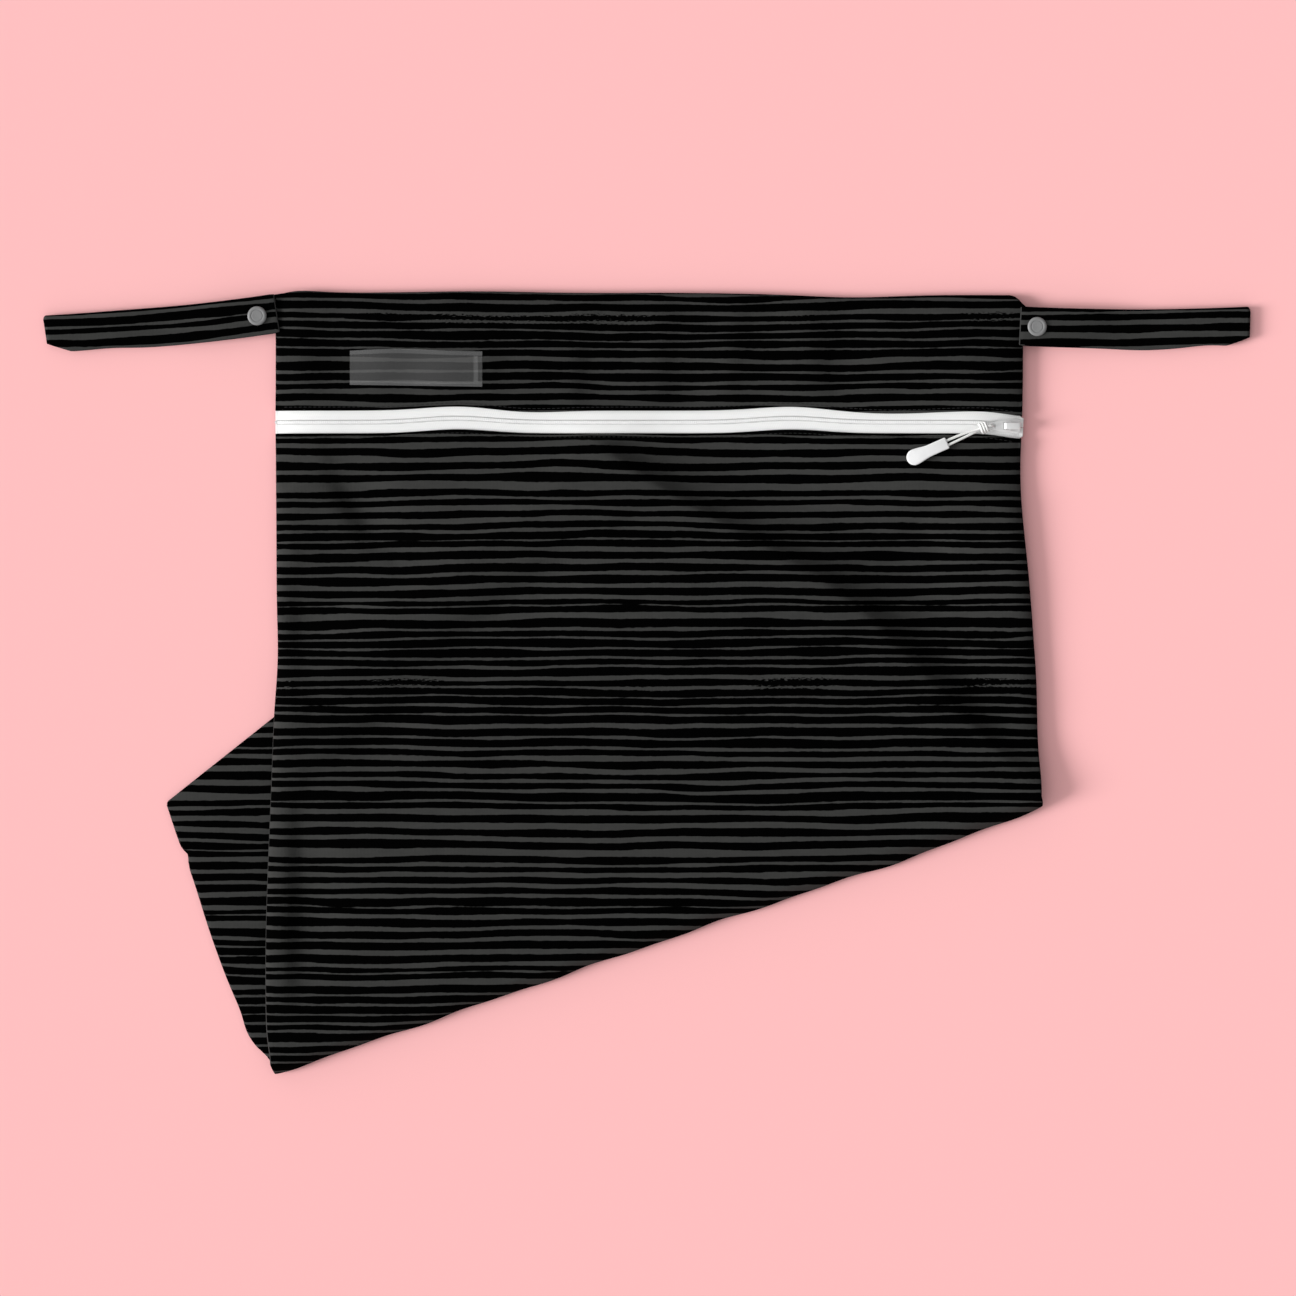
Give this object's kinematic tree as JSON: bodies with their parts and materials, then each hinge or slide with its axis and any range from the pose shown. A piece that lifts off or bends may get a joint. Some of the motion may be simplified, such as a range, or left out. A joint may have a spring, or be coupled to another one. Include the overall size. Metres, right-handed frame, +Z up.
{
  "type": "wet bag",
  "caption": "Flat zipped pouch of striped laminated cloth, its lower end folded under, with hanging straps closed by snaps, a cord pull with a tag, and a sheer label.",
  "frame": {"origin": "on the table, under the middle of the outline seen from above", "axes": "+X along the zip towards its slider, +Y towards the bag's top edge, +Z up from the table"},
  "size_m": [0.7411, 0.4811, 0.0159],
  "materials": {
    "striped_cloth": "matt knit with uneven black and charcoal stripes",
    "zip_tape": "white woven tape",
    "zip_coil": "white nylon coil",
    "white_enamel": "white enamel",
    "white_cord": "white braided cord",
    "white_moulding": "white soft moulding",
    "grey_snap": "mid grey moulded cap",
    "sheer_label": "sheer pale woven label"
  },
  "bodies": {
    "root": {"front_panel_upper": "striped_cloth", "front_panel_lower": "striped_cloth", "back_panel": "striped_cloth", "zipper_tape_upper": "zip_tape", "zipper_tape_lower": "zip_tape", "zipper_coil": "zip_coil", "zipper_slider": "white_enamel", "pull_tab": "white_enamel", "pull_cord": "white_cord", "pull_tag": "white_moulding", "strap_left": "striped_cloth", "strap_right": "striped_cloth", "snap_stud_left": "grey_snap", "snap_socket_left": "grey_snap", "snap_stud_right": "grey_snap", "snap_socket_right": "grey_snap", "label": "sheer_label"}
  },
  "joints": []
}
